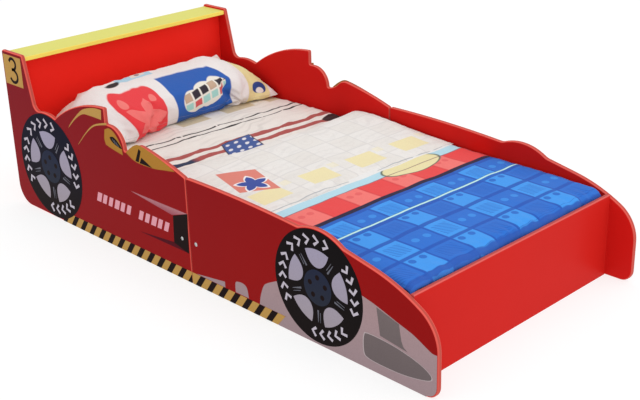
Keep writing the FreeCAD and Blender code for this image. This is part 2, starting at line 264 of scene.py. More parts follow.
def zinc(name):
    """Bright zinc plate with a faint blotchy passivation."""
    material, tree, shader, place = new_material(name, metallic=1.0)
    blotch = noise(tree, place, 130, 3)
    tone = paint(tree, ink(205, 206, 205), (blotch.above(0.5, 0.3), ink(176, 178, 180)))
    tree.links.new((blotch * 0.25 + 0.22).socket, shader.inputs["Roughness"])
    coat(tree, shader, tone, noise(tree, place, 900, 2), 0.00004)
    return material


def dress_frame():
    """Give every CAD node that stays its finish."""
    red = lacquer("red_lacquer", ink(210, 36, 30), ink(232, 104, 98), 0)
    # The headboard is the footboard's red paint, made brighter here: painted light to lift the
    # shade under its shelf.
    head = lacquer("headboard_lacquer_brightened", ink(250, 44, 34), ink(240, 100, 90), 0)
    side = lacquer("printed_side", ink(208, 30, 26), ink(240, 104, 92), 1,
                   (ink(144, 12, 12), ink(117, 4, 26)))
    yellow = lacquer("yellow_lacquer", ink(230, 226, 116), ink(252, 226, 104), 2, edge_depth=1.0)
    pine = timber("pine", ink(222, 188, 136), ink(190, 146, 92), 60)
    beech = timber("beech", ink(214, 176, 132), ink(184, 140, 96), 160)
    finishes = {"pine": pine, "beech": beech, "zinc_steel": zinc("zinc_steel"),
                "yellow_paint": yellow, "red_paint": red}
    slots = {part["node"]: part["material_slot"] for part in frame["record"]["subparts"]}
    for node, obj in frame["nodes"].items():
        finish = finishes.get(slots[node])
        if node == "headboard":
            finish = head
        elif slots[node] == "red_paint" and node.startswith("side_"):
            finish = side
        if finish:
            obj.data.materials.clear()
            obj.data.materials.append(finish)


# Printed artwork on the side boards

def print_ink(name, colour, second=None, span=None):
    """Printing ink under lacquer: fine dots, uneven cover, and a shift between two colours."""
    material, tree, shader, place = new_material(name, roughness=0.36, specular_ior_level=0.02)
    base = tone = ink(*colour)
    if second:
        low, high = span
        height = split(tree, place)[2]
        tone = paint(tree, base, (height.above((low + high) / 2, (high - low) / 2), ink(*second)))
    dots = noise(tree, place, 420, 1)
    cover = noise(tree, place, 16, 3)
    tone = paint(tree, tone, (dots.above(0.55, 0.12) * 0.22, darker(base, 0.72)),
                 (cover.above(0.5, 0.4) * 0.25, darker(base, 0.8)))
    coat(tree, shader, tone, orange_peel(tree, place), 0.00005)
    return material


def polar(centre, radius, degrees):
    turn = math.radians(degrees)
    return (centre[0] + radius * math.cos(turn), centre[1] + radius * math.sin(turn))


def arc(centre, radius, start, end, steps=12):
    return [polar(centre, radius, start + (end - start) * i / steps) for i in range(steps + 1)]


def disc(centre, radius, steps):
    return arc(centre, radius, 0, 360, steps)[:-1]


def bezier(a, b, c, steps=10):
    """Points of a curve from a to c that bends towards b."""
    points = []
    for i in range(steps + 1):
        t = i / steps
        points.append(tuple((1 - t) ** 2 * p + 2 * t * (1 - t) * q + t * t * r
                            for p, q, r in zip(a, b, c)))
    return points


def smooth(points, steps=6, closed=False):
    """A curve that passes through every given point."""
    n = len(points)
    path = []
    for i in range(n if closed else n - 1):
        around = [points[(i + k) % n] if closed else points[min(max(i + k, 0), n - 1)]
                  for k in (-1, 0, 1, 2)]
        for j in range(steps):
            t = j / steps
            path.append(tuple(
                0.5 * (2 * b + (c - a) * t + (2 * a - 5 * b + 4 * c - d) * t * t
                       + (3 * b - a - 3 * c + d) * t ** 3)
                for a, b, c, d in zip(*around)))
    return path if closed else path + [points[-1]]


def stroke(path, widths):
    """The outline of a pen line along a path; widths is its width at each end, or one width."""
    first, last = widths if isinstance(widths, tuple) else (widths, widths)
    left, right = [], []
    for i, (x, z) in enumerate(path):
        ahead, behind = path[min(i + 1, len(path) - 1)], path[max(i - 1, 0)]
        along = Vector((ahead[0] - behind[0], ahead[1] - behind[1])).normalized()
        half = (first + (last - first) * i / (len(path) - 1)) / 2
        left.append((x - along.y * half, z + along.x * half))
        right.append((x + along.y * half, z - along.x * half))
    return left + right[::-1]


def cut_at(points, limit, keep):
    """The part of an outline on one side of an upright line: keep is -1 for the rear side."""
    out = []
    for i, b in enumerate(points):
        a = points[i - 1]
        a_in, b_in = (a[0] - limit) * keep >= 0, (b[0] - limit) * keep >= 0
        if a_in != b_in:
            t = (limit - a[0]) / (b[0] - a[0])
            out.append((limit, a[1] + t * (b[1] - a[1])))
        if b_in:
            out.append(b)
    return out


class Artwork:
    """The ink on one side board, in layers that each stand a little proud of the last."""

    def __init__(self, half, side):
        self.name = "artwork_%s_%s" % (half, side)
        self.side = SIDES[side]
        self.mesh = bmesh.new()
        self.inks = []

    def add(self, points, shade, layer=1):
        """Lay one closed patch of ink."""
        if shade not in self.inks:
            self.inks.append(shade)
        rings = []
        for level in (OUTER_Y - INK_ROOT, OUTER_Y + INK_STEP * layer):
            rings.append([self.mesh.verts.new((REAR_X + x * MM, self.side * level, z * MM))
                          for x, z in points])
        faces = [self.mesh.faces.new(rings[0][::-1]), self.mesh.faces.new(rings[1])]
        for i in range(len(points)):
            faces.append(self.mesh.faces.new((rings[0][i - 1], rings[0][i],
                                              rings[1][i], rings[1][i - 1])))
        for face in faces:
            face.material_index = self.inks.index(shade)

    def finish(self):
        bmesh.ops.recalc_face_normals(self.mesh, faces=self.mesh.faces)
        data = bpy.data.meshes.new(self.name)
        self.mesh.to_mesh(data)
        self.mesh.free()
        for shade in self.inks:
            data.materials.append(SHADE[shade])
        obj = add_object(self.name, data)
        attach(obj, "frame")


def wheel(art, centre, size, tyre):
    """A printed wheel: tyre with a broken pale band, five spokes, hub and lug holes.

    size is the tyre's radius; every other measure is a share of it."""
    art.add(disc(centre, size, 96), tyre, 2)
    inner, outer, half = size * 0.355, size * 0.672, size * 0.262
    for k in range(5):
        turn = math.radians(72 * k)
        shoulder = math.sqrt(outer ** 2 - half ** 2)
        lean = math.degrees(math.asin(half / outer))
        top = arc((0, 0), outer, 90 - lean, 90 + lean, 10)
        sides = (bezier((-half, shoulder), (-half * 0.66, inner), (0, inner))[1:]
                 + bezier((0, inner), (half * 0.66, inner), (half, shoulder))[1:-1])
        shape = [(centre[0] + x * math.cos(turn) - z * math.sin(turn),
                  centre[1] + x * math.sin(turn) + z * math.cos(turn)) for x, z in top + sides]
        art.add(shape, "lilac", 5)
        for shift, start, wide in ((0.0, 0.40, 0.036), (6.5, 0.44, 0.014)):
            glint = [polar(centre, size * start, 54 + 72 * k + shift),
                     polar(centre, size * 0.62, 54 + 72 * k + shift * 0.7)]
            art.add(stroke(glint, (size * wide, size * 0.008)), "glint", 5)
    art.add(disc(centre, size * 0.312, 48), "hub", 6)
    for k in range(5):
        spot = polar(centre, size * 0.18, 90 + 72 * k)
        art.add(disc(spot, size * 0.046, 20), "black", 7)
    for first, last in ((140, 70), (42, -16), (-44, -102), (212, 150)):
        step = (last - first) / 4.6
        for i in range(5):
            begin = first + step * i
            arrow = [polar(centre, size * 0.742, begin),
                     polar(centre, size * 0.82, begin + step * 0.46),
                     polar(centre, size * 0.905, begin)]
            art.add(stroke(arrow, size * 0.052), "chalk", 5)


def hazard_band(art, start, end, phase):
    """Black bars leaning forward on gold, along the lower edge."""
    lean, wide, pitch, top = 23, 20, 44, 32
    ground = [(start[0], 0.4), (start[1], top), (end[1], top), (end[0], 0.4)]
    art.add(ground[::-1], "gold")
    x = phase
    while x < end[0]:
        bar = [(x, 0.4), (x + wide, 0.4), (x + wide + lean, top), (x + lean, top)]
        if end[0] == end[1]:
            bar = cut_at(cut_at(bar, start[0] + 4, 1), end[0], -1)
        if len(bar) > 2:
            art.add(bar, "black", 3)
        x += pitch


def race_number(art):
    """The numeral 3 on its plate, the right way round on either side."""
    art.add([(6, 366), (98, 366), (98, 452), (6, 452)], "gold")
    middle = 53
    upper_bowl = [(-17, 434), (-8, 443), (5, 443), (15, 434), (14, 421), (4, 413), (-7, 412)]
    lower_bowl = [(-7, 412), (6, 411), (18, 401), (19, 387), (9, 377), (-7, 376), (-19, 386)]
    for bowl in (upper_bowl, lower_bowl):
        points = [(middle - art.side * x, z) for x, z in bowl]
        art.add(stroke(smooth(points), 8.5), "black", 3)


def rear_artwork(side):
    art = Artwork("rear", side)
    race_number(art)
    wheel(art, (195, 156), 154, "tyre_rear")
    hazard_band(art, (226, 284), (SEAM - 0.6, SEAM - 0.6), 226)
    upper = smooth([(311, 297), (326, 315), (365, 349), (395, 368.5), (442, 382), (480, 384.6)])
    lower = smooth([(476, 357), (422, 357), (388, 353), (349, 330), (311, 297)])[:-1]
    art.add(upper + lower, "gold")
    art.add(stroke(smooth([(353, 261), (399, 305), (441, 334), (499, 351)]), (1, 6)), "gold")
    shield = smooth([(482, 307), (487, 292)], 2) + smooth([(500, 289), (530, 284), (560, 280)])
    shield += smooth([(558, 299), (546, 318), (528, 335), (507, 341), (487, 333)])
    art.add(shield, "gold_deep")
    leaf = smooth([(508, 316), (524, 321), (543, 312), (558, 297), (540, 299), (520, 305)],
                  closed=True)
    art.add(leaf, "black", 3)
    for k in range(3):
        art.add(stroke([(519 + 8 * k, 316 - 3 * k), (531 + 8 * k, 303 - 2 * k)], 1.6),
                "glint", 5)
    hump = smooth([(575, 291.5), (600, 311), (627, 324.5), (654, 323), (700, 313.6),
                   (750, 300), (777, 290)])
    hump += smooth([(777, 290), (746, 285), (685, 276), (615, 276), (575, 291.5)])[1:-1]
    art.add(hump, "gold_deep")
    art.add([(615, 278), (628.8, 278), (641.5, 310.8), (632.7, 314.6)], "black", 3)
    art.add([(632.7, 276.5), (684.6, 276.5), (642, 293.5)], "black", 3)
    for k in list(range(6)) + list(range(7, 12)):
        x, wide = 415 + 27 * k, 17 if k % 3 else 20
        art.add([(x, 115), (x + wide, 115), (x + wide + 10, 142), (x + 10, 142)], "pink")
    art.add([(579, 187), (752, 168.5), (815, 189)], "wedge")
    art.add([(604, 80), (810, 81), (750, 94)], "wedge_dark")
    art.add([(756, 168), (752, 93.5), (811, 80), (815, 189)], "black", 3)
    art.finish()


def front_artwork(side):
    art = Artwork("front", side)
    art.add([(835, 33), (946, 33), (946, 48.5)], "skirt")
    art.add(smooth([(985, 34), (986.5, 60), (1000, 66), (1017, 66), (1028, 58), (1033, 34)], 4),
            "skirt")
    skirt = smooth([(1072, 32.5), (1077, 57), (1088, 84), (1100, 96), (1133, 113)])
    skirt += [(1271, 150)]
    skirt += smooth([(1400, 173), (1446, 163), (1511, 143.5), (1550, 132), (1588, 114),
                     (1602, 108), (1614.5, 108)])
    skirt += arc((1587, 31), 27.5, 0, -90, 8) + [(1587, 0.5), (1134, 0.5), (1161, 32.5)]
    art.add(skirt, "skirt")
    hazard_band(art, (SEAM + 1.2, SEAM + 1.2), (1133, 1161), SEAM + 12)
    wheel(art, (1271, 143.5), 138, "tyre_front")
    art.add([(1448, 159), (1458, 95), (1535, 85), (1524, 92), (1518, 104), (1511, 142)],
            "vent", 3)
    lamp = smooth([(1409, 78), (1423, 88), (1492, 86), (1550, 76), (1588, 63), (1603, 49),
                   (1588, 38), (1531, 26.5), (1473, 23.5), (1423, 26), (1409, 38)], closed=True)
    art.add(lamp, "skirt_light", 3)
    inner = [(1506 + (x - 1506) * 0.975, 56 + (z - 56) * 0.955) for x, z in lamp]
    art.add(inner, "vent", 5)
    art.finish()


def add_artwork():
    """Mix the inks, some of which change between two heights, then print all four halves."""
    inks = {
        "gold": [(186, 145, 78)],
        "gold_deep": [(172, 122, 48)],
        "black": [(28, 16, 16)],
        "tyre_rear": [(26, 18, 20), (14, 16, 38), (60, 260)],
        "tyre_front": [(24, 18, 18), (18, 14, 16), (60, 240)],
        "lilac": [(160, 150, 160), (158, 152, 178), (60, 260)],
        "glint": [(104, 104, 114)],
        "hub": [(42, 46, 58), (34, 40, 64), (100, 200)],
        "chalk": [(192, 184, 196)],
        "pink": [(222, 156, 168)],
        "wedge": [(150, 70, 85), (184, 130, 136), (166, 190)],
        "wedge_dark": [(84, 14, 28), (70, 14, 24), (80, 94)],
        "skirt": [(158, 136, 140), (168, 140, 142), (20, 160)],
        "skirt_light": [(186, 172, 174)],
        "vent": [(108, 97, 98), (116, 104, 104), (20, 150)],
    }
    for name, colours in inks.items():
        SHADE[name] = print_ink("ink_" + name, *colours)
    for side in SIDES:
        rear_artwork(side)
        front_artwork(side)


# Cloth materials

def cloth_material(name, pattern, weave=0.00012, creases=14.0):
    """Printed cotton: a pattern over (along, across) in millimetres, a weave and soft sheen."""
    material, tree, shader, place = new_material(name, roughness=0.85, sheen_weight=0.06,
                                          sheen_roughness=0.5, specular_ior_level=0.12)
    flat = tree.nodes.new("ShaderNodeUVMap")
    flat.uv_map = "flat"
    u, v, _ = split(tree, flat.outputs[0])
    u = u - REAR_X / MM
    tone = pattern(tree, u, v, place)
    thread = u.sine(1.6) * v.sine(1.6)
    slub = noise(tree, place, 320, 2)
    crease = noise(tree, place, 38, 3, 0.6).math("PINGPONG", 0.5)
    wash = noise(tree, place, 9, 3)
    tone = paint(tree, tone, (slub.above(0.5, 0.25) * 0.07, (96, 92, 96)),
                 (wash.above(0.52, 0.3) * 0.05, (120, 112, 112)))
    coat(tree, shader, tone, thread * 0.35 + slub * 0.8 + crease * creases, weave)
    return material


def painted_crease_shade(tree, u, v, place, pitch):
    """Painted shade: grey streaks along soft creases across the bed."""
    wander = noise(tree, place, 5, 2) * 170
    ridge = (u + v * 0.1 + wander).sine(pitch).above(0.62, 0.38)
    return ridge & noise(tree, place, 8, 1).above(0.5, 0.14)


def stitches(u, v, centre, reach):
    """A row of short stitches round a rectangle, given its centre and half its size."""
    du, dv = (u - centre[0]).size(), (v - centre[1]).size()
    across = (du - reach[0]).size().below(0.8, 0.4) & dv.below(reach[1])
    along = (dv - reach[1]).size().below(0.8, 0.4) & du.below(reach[0])
    return (across & v.wrap(4.5).below(3.0, 0.4)) | (along & u.wrap(4.5).below(3.0, 0.4))


def mattress_pattern(tree, u, v, place):
    quilting = (u.wrap(60) - 30).size().above(28.6) | (v.wrap(60) - 30).size().above(28.6)
    return paint(tree, (236, 233, 226), (quilting * 0.5, (205, 200, 192)))


def sheet_pattern(tree, u, v, place):
    """Off-white with thin wavy lines, two red stripes, a navy spotted patch and tan blocks."""
    waver = noise(tree, place, 11, 2) * 34 - 17
    along = u - v * 0.035 + waver * 0.4
    tan = box_field(u, v, 320, 365, 140, 250, 3) | box_field(u, v, 320, 364, -27, 77, 3)
    tan = tan | box_field(u, v, 240, 375, 300, 352, 4)
    lines = along.between(431, 437.5) | along.between(459.5, 466)
    dashes = noise(tree, place, 42, 1).above(0.29, 0.02)
    band = u - v * 0.055 + waver
    stripes = band.between(557, 579, 1.2) | band.between(603, 625, 1.2)
    near_end = band.above(592, 1.0) & v.below(-178, 10)
    left = v + (u - 571) * 0.46
    right = v + (u - 560) * 0.26
    lean = u + v * 0.1
    patch = lean.above(566, 1.2) & u.below(650) & left.above(-55, 1.2) & right.below(50, 1.2)
    trim = lean.above(562, 1.2) & u.below(652) & left.above(-59, 1.2) & right.below(54, 1.2)
    spots = distance(lean.wrap(27, 570), left.wrap(31, -56), 13, 15.5, 1.2).below(6.4, 1.2)
    blob = distance(u, v, 628, 330, 2.0).below(24, 1.2)
    return paint(tree, (242, 235, 228),
                 # grey streaks of painted shade along the creases
                 (painted_crease_shade(tree, u, v, place, 27) * 0.4, (206, 198, 192)),
                 (tan * 0.8, (206, 184, 138)),
                 (lines & dashes, (34, 30, 30)),
                 (stripes, (178, 84, 80)), (stripes & near_end, (40, 54, 84)),
                 (trim, (60, 52, 70)), (patch, (66, 92, 156)),
                 (patch & spots, (232, 230, 236)),
                 (blob, (54, 26, 28)))


def reverse_pattern(tree, u, v, place):
    """White with a faint grid, a row of pale yellow squares and one coral tile with a star."""
    grid = (u.wrap(76) - 38).size().above(36, 1.2) | (v.wrap(80, 8) - 40).size().above(38, 1.2)
    skew = u - v * 0.03
    square = skew.between(945, 1010) & (v.wrap(163, 44) - 46).size().below(46)
    small = skew.between(938, 962) & (v.wrap(163, 148) - 14).size().below(13)
    du, dv = u - 780, v + 250
    tile = (du * 0.218 + dv * 1.017).between(0, 100) & (du * 0.702 - dv * 0.428).between(0, 100)
    hem = skew.between(1043, 1046)
    checker = ((u.wrap(152) - 76) * (v.wrap(160, 8) - 80)).above(0, 60)
    ring = distance(u.wrap(76), v.wrap(80, 8), 38, 40)
    ghost = ring.between(17, 21, 1.2) | ring.below(7, 1.2)
    return paint(tree, (240, 236, 232),
                 # grey streaks of painted shade along the creases
                 (painted_crease_shade(tree, u, v, place, 34) * 0.3, (212, 208, 206)),
                 (checker * 0.3, (228, 222, 214)), (ghost * 0.12, (212, 204, 196)),
                 (grid * 0.5, (214, 210, 208)),
                 (small * 0.5, (244, 234, 196)), (square, (243, 230, 182)),
                 (tile, (226, 134, 120)),
                 (star_field(u, v, 890, -220, 50), (246, 240, 240)),
                 (star_field(u, v, 890, -220, 42), (58, 80, 160)),
                 (stitches(u, v, (1000, 0), (700, 347)) * 0.5, (176, 172, 170)),
                 (hem * 0.6, (140, 150, 160)))


def cover_pattern(tree, u, v, place):
    """Bands across the bed: pale blue, coral blocks, a navy line, then blue chequers."""
    waver = noise(tree, place, 6, 1) * 10 - 5
    along = u - v * 0.022 + waver
    row = v.wrap(158, 187)
    light_row = row.between(0, 72, 1.5)
    line_between = row.between(-2, 3, 1.0) | row.between(70, 76, 1.0) | row.above(154, 1.0)
    coral = paint(tree, (238, 74, 74), (light_row, (248, 122, 116)),
                  (line_between * 0.5, (214, 62, 66)))
    coral_dot = distance(along, row, 1118, 22).below(9) | distance(along, row, 1118, 50).below(9)
    coral = paint(tree, coral, (coral_dot * 0.45, (222, 70, 76)))

    column = along.wrap(165, 1200)
    plain_column = column.below(76, 1.5)
    column_line = column.between(74, 86, 1.5) | column.above(151, 1.5)
    cell = paint(tree, (42, 114, 212), (light_row, (64, 156, 244)))
    twin = distance(column, row, 98, 18).below(9) | distance(column, row, 98, 52).below(9)
    ghost = distance(column, row, 34, 98).below(9.5) | distance(column, row, 34, 134).below(9.5)
    hatch = ((along - v * 0.6).wrap(9)).below(3.4, 1.2) * 0.7
    patch = column.between(96, 142, 2) & row.between(88, 142, 2)
    hatched = (plain_column & column.between(14, 62, 2) & row.between(12, 60, 2)) | patch
    cell = paint(tree, cell, (twin * 0.8, (32, 98, 196)), (ghost * 0.75, (62, 150, 238)),
                 (hatched & hatch, (30, 92, 190)),
                 ((column_line | line_between) * 0.85, (28, 84, 184)))
    blue_half = along.above(1184, 1.0)
    foot = along.above(1518, 2.0)
    blob = distance(u, v, 1082, 152, 2.35)
    pale = along.below(1088, 1.2)
    tone = paint(tree, coral, (blue_half, cell), (foot * 0.6, (48, 98, 190)),
                 (pale, (186, 224, 238)),
                 (blob.below(45, 1.2), (96, 110, 96)), (blob.below(42, 1.2), (240, 228, 176)),
                 (along.between(1085.5, 1089) * 0.8, (130, 86, 96)),
                 (along.between(1172, 1187, 1.0), (34, 28, 62)),
                 (along.between(1264, 1273, 1.0), (60, 120, 160)),
                 (along.between(1266, 1271.5, 1.0), (206, 246, 246)))
    return paint(tree, tone, (along.below(1053, 1.0), (240, 238, 236)),
                 (stitches(u, v, (1000, 0), (514, 347)) * 0.6, (28, 78, 172)))


def pillow_pattern(tree, u, v, place):
    """Blocks across the pillow: coral with a pale star, blue with a badge, yellow with dots."""
    corner = distance(u.math("MINIMUM", 264.0), (v + 123).size().math("MAXIMUM", 44.0), 264, 44)
    coral = corner.below(25, 1.5)
    bend = distance(u.math("MINIMUM", 292.0), v.math("MAXIMUM", 104.0), 292, 104)
    blue = box_field(u, v, 236, 420, -20, 174, 1.5) & bend.below(68, 1.5)
    yellow = box_field(u, v, 214, 420, 236, 318, 1.5)
    star = star_field(u, v, 322, -123, 66)
    dots = distance(u, v, 268, -168).below(11) | distance(u, v, 268, -78).below(11)
    cloud = (distance(u, v, 318, 38).below(36, 1.2) | distance(u, v, 306, 84, 1.1).below(41, 1.2)
             | distance(u, v, 290, 126).below(33, 1.2))
    row = u + v * 0.22
    tile = (v.wrap(29, 4) - 14.5).size().below(11.5, 1.0)
    upper_row = cloud & tile & row.between(296, 318, 1.2)
    lower_row = cloud & tile & row.between(324, 346, 1.2)
    pale_tile = (v.wrap(87, 4) - 14.5).size().below(13, 1.0)
    coral_tile = (v.wrap(87, 33) - 14.5).size().below(13, 1.0)
    moon = distance(u, v, 326, 282, 1.25).below(21, 1.2)
    moon_cut = distance(u, v, 336, 282, 1.25).below(11, 1.2)
    back_bar = box_field(u, v, 196, 218, -112, 4, 1.5)
    back_tile = box_field(u + v * 0.1, v, 180, 207, -62, -14, 1.5)
    tile_mark = distance(u, v, 202, -38, 1.4).below(6, 1.2)
    oval = distance(u, v, 214, -128, 2.9).below(8, 1.2)
    return paint(tree, (242, 236, 234),
                 (u.below(172, 2) & u.above(120, 2), (236, 224, 212)),
                 (back_bar, (176, 214, 234)), (back_tile, (232, 222, 212)),
                 (tile_mark, (150, 130, 140)), (oval, (40, 34, 38)),
                 (coral, (240, 64, 70)), (coral & star, (250, 122, 118)),
                 (coral & dots, (250, 128, 122)),
                 (blue, (44, 96, 182)), (cloud, (244, 238, 226)),
                 (upper_row, (52, 46, 56)), (upper_row & pale_tile, (206, 176, 150)),
                 (lower_row, (170, 222, 214)), (lower_row & coral_tile, (222, 92, 92)),
                 (yellow, (240, 226, 164)), (moon, (46, 70, 138)),
                 (moon_cut, (240, 234, 226)),
                 (stitches(u, v, (239, 18), (124, 325)) * 0.55, (178, 168, 166)))


# Soft goods

def set_flat(data, flat):
    """Keep each point's place on the flat cloth as a mesh's UV."""
    layer = data.uv_layers.new(name="flat")
    loops = np.zeros(len(data.loops), int)
    data.loops.foreach_get("vertex_index", loops)
    layer.data.foreach_set("uv", np.asarray(flat, np.float32)[loops].ravel())


def mesh_object(name, points, faces, flat=None, materials=()):
    data = bpy.data.meshes.new(name)
    data.from_pydata([tuple(p) for p in points], [], faces)
    if flat is not None:
        set_flat(data, flat)
    for material in materials:
        data.materials.append(material)
    return add_object(name, data)


def add_object(name, data):
    obj = bpy.data.objects.new(name, data)
    bpy.context.scene.collection.objects.link(obj)
    return obj


def points_of(obj):
    co = np.zeros(len(obj.data.vertices) * 3, np.float32)
    obj.data.vertices.foreach_get("co", co)
    return co.reshape(-1, 3).astype(float)


def set_points(obj, points):
    obj.data.vertices.foreach_set("co", np.asarray(points, np.float32).ravel())
    obj.data.update()


def grid_faces(rows, columns, flip=False):
    """The quads of a grid whose points are numbered row by row."""
    faces = []
    for i in range(rows - 1):
        for j in range(columns - 1):
            a = i * columns + j
            quad = (a, a + 1, a + columns + 1, a + columns)
            faces.append(quad[::-1] if flip else quad)
    return faces


class Envelope:
    """A flat closed case: two grids of points, one over the other, that share their rim."""

    def __init__(self, top, bottom):
        self.shape = top.shape[:2]
        self.inner = np.zeros(self.shape, bool)
        self.inner[1:-1, 1:-1] = True
        self.points = self.join(top, bottom)
        number = np.arange(self.inner.size).reshape(self.shape)
        number[self.inner] = self.inner.size + np.arange(self.inner.sum())
        self.upper = grid_faces(*self.shape, flip=True)
        self.lower = [tuple(int(number.flat[i]) for i in quad) for quad in grid_faces(*self.shape)]

    def join(self, top, bottom):
        """All the points in one list: the whole top, then the bottom inside its rim."""
        return np.concatenate([top.reshape(-1, 3), bottom[self.inner]])

    def grids(self, points):
        """The top and bottom grids, stacked, from a list of points."""
        top = points[:self.inner.size].reshape(*self.shape, 3)
        bottom = top.copy()
        bottom[self.inner] = points[self.inner.size:]
        return np.stack([top, bottom])


def soften_shading(obj, levels=0):
    for polygon in obj.data.polygons:
        polygon.use_smooth = True
    if levels:
        rounder = obj.modifiers.new("rounder", "SUBSURF")
        rounder.levels = levels
        rounder.render_levels = levels


def puff(obj, pressure, cap, frames=20, growth=0.0, pinned=None):
    """Blow a closed cover up like a stuffed cushion, moving no point further than cap."""
    before = points_of(obj)
    cloth = obj.modifiers.new("cloth", "CLOTH")
    settings = cloth.settings
    settings.effector_weights.gravity = 0
    for key, value in (("quality", 6), ("mass", 0.25), ("tension_stiffness", 12),
                       ("compression_stiffness", 12), ("bending_stiffness", 0.15),
                       ("use_pressure", True), ("uniform_pressure_force", pressure),
                       ("shrink_min", -growth)):
        setattr(settings, key, value)
    cloth.collision_settings.use_collision = False
    if pinned is not None:
        group = obj.vertex_groups.new(name="pinned")
        group.add(np.flatnonzero(pinned).tolist(), 1.0, "REPLACE")
        settings.vertex_group_mass = "pinned"
    cloth.point_cache.frame_start = 1
    cloth.point_cache.frame_end = frames
    scene = bpy.context.scene
    for step in range(1, frames + 1):
        scene.frame_set(step)
    graph = bpy.context.evaluated_depsgraph_get()
    move = points_of(obj.evaluated_get(graph)) - before
    obj.modifiers.remove(cloth)
    scene.frame_set(1)
    far = np.linalg.norm(move, axis=1, keepdims=True)
    move *= np.minimum(1.0, cap / np.maximum(far, 1e-9))
    set_points(obj, before + move)


def rounded_block(lo, hi, radius, cell, open_below=False):
    """Points and faces of a box with rounded edges, from a grid on each of its faces."""
    counts = [max(2, round((b - a) / cell)) for a, b in zip(lo, hi)]
    numbers, points, faces = {}, [], []

    def point(i, j, k):
        key = (i, j, k)
        if key not in numbers:
            numbers[key] = len(points)
            at = [a + (b - a) * n / c for a, b, n, c in zip(lo, hi, key, counts)]
            core = [min(max(p, a + radius), b - radius) for p, a, b in zip(at, lo, hi)]
            out = Vector(at) - Vector(core)
            reach = out.length
            points.append(Vector(core) + (out * (radius / reach) if reach > 1e-9 else out))
        return numbers[key]

    for axis in range(3):
        across, up = [a for a in range(3) if a != axis]
        for end in (0, counts[axis]):
            if open_below and axis == 2 and end == 0:
                continue
            for i, j in np.ndindex(counts[across], counts[up]):
                quad = []
                for di, dj in ((0, 0), (1, 0), (1, 1), (0, 1)):
                    key = {axis: end, across: i + di, up: j + dj}
                    quad.append(point(key[0], key[1], key[2]))
                faces.append(quad)
    return points, faces


def tidy_normals(obj):
    """Turn every face outwards."""
    mesh = bmesh.new()
    mesh.from_mesh(obj.data)
    bmesh.ops.recalc_face_normals(mesh, faces=mesh.faces)
    mesh.to_mesh(obj.data)
    mesh.free()


def add_mattress():
    """The foam mattress in its quilted ticking."""
    lo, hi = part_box("mattress")
    ticking = cloth_material("mattress_ticking", mattress_pattern, 0.0003)
    points, faces = rounded_block(lo, hi, 0.012, 0.02)
    pad = mesh_object("mattress_pad", points, faces, [(p.x, p.y) for p in points], [ticking])
    tidy_normals(pad)
    puff(pad, 2.0, 0.0015, frames=8)
    at = points_of(pad)
    at[:, 2] = np.clip(at[:, 2], lo.z, hi.z)
    set_points(pad, at)
    soften_shading(pad, 1)
    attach(pad, "mattress")
    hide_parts("mattress")


def add_sheet():
    """The fitted sheet: taut on top, gathered towards the elastic hem under the sides."""
    lo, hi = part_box("fitted_sheet")
    cotton = cloth_material("sheet_cotton", sheet_pattern, creases=34.0)
    below, over = Vector((0, 0, 0.004)), Vector((0, 0, 0.0002))
    points, faces = rounded_block(lo - below, hi + over, 0.013, 0.009, True)
    at = np.array([tuple(p) for p in points])
    centre_x = (lo.x + hi.x) / 2
    drop = np.clip((hi.z - 0.012 - at[:, 2]) / (hi.z - lo.z), 0, 1)
    run = np.where(np.abs(at[:, 0] - centre_x) > (hi.x - lo.x) / 2 - 0.02, at[:, 1], at[:, 0])
    ripple = (np.sin(run * 210) + 0.6 * np.sin(run * 131 + 1.3)) * 0.0014 * drop ** 1.5
    out = at[:, :2] - np.clip(at[:, :2], np.array(lo)[:2] + 0.02, np.array(hi)[:2] - 0.02)
    length = np.maximum(np.linalg.norm(out, axis=1, keepdims=True), 1e-9)
    at[:, :2] += np.where(length > 1e-6, out / length, 0) * (ripple + 0.0012 * drop)[:, None]
    bare_from, bare_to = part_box("pillow")[1].x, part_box("duvet")[0].x + 0.04
    bare = np.clip((at[:, 0] - bare_from) / 0.04, 0, 1) * np.clip((bare_to - at[:, 0]) / 0.04, 0, 1)
    rumple = 0.62 - np.abs(waves(at[:, 0] * 1.5, at[:, 1] * 0.6, 3, 34, 0.2, 0.035)) ** 0.6
    at[:, 2] += 0.0075 * np.clip(rumple, 0, 1) * bare * (drop <= 0)
    cover = mesh_object("fitted_sheet_cover", at, faces, at[:, :2], [cotton])
    tidy_normals(cover)
    thick = cover.modifiers.new("cloth_thickness", "SOLIDIFY")
    thick.thickness = 0.0008
    thick.offset = 1.0
    soften_shading(cover)
    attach(cover, "mattress")
    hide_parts("fitted_sheet")


def travelled(line):
    """How far along a line each of its points is."""
    return np.concatenate([[0], np.cumsum(np.linalg.norm(np.diff(line, axis=0), axis=1))])


def line_normals(line):
    slope = np.gradient(line, axis=0)
    slope /= np.linalg.norm(slope, axis=1, keepdims=True)
    return np.stack([slope[:, 1], -slope[:, 0]], axis=1)


def quilt_path(foot, count):
    """The quilt's middle line from the foot, along the bed, round the fold and back to its hem.

    The fold is at x = 0 and the sheet at z = 0. Returns count stations (x, z) and how far along
    each one is, in metres."""
    tail = [(foot - 0.0045, -0.022), (foot - 0.005, -0.009), (foot - 0.016, 0.002),
            (foot - 0.05, 0.0042)]
    base = [(foot - 0.12, 0.005), (FLAP + 0.06, 0.0055), (FLAP - 0.1, 0.005), (0.22, 0.005),
            (0.08, 0.0055), (0.022, 0.007)]
    turn = [(0.008, 0.0125), (0.009, 0.022), (0.028, 0.0285)]
    flap = [(0.07, 0.0305), (0.15, 0.0265), (0.26, 0.019), (0.34, 0.0145),
            (FLAP - 0.02, 0.0125), (FLAP, 0.0122)]
    line = np.array(smooth(tail + base + turn + flap, 12))
    along = travelled(line)
    at = np.linspace(0, along[-1], count)
    return np.stack([np.interp(at, along, line[:, k]) for k in range(2)], axis=1), at


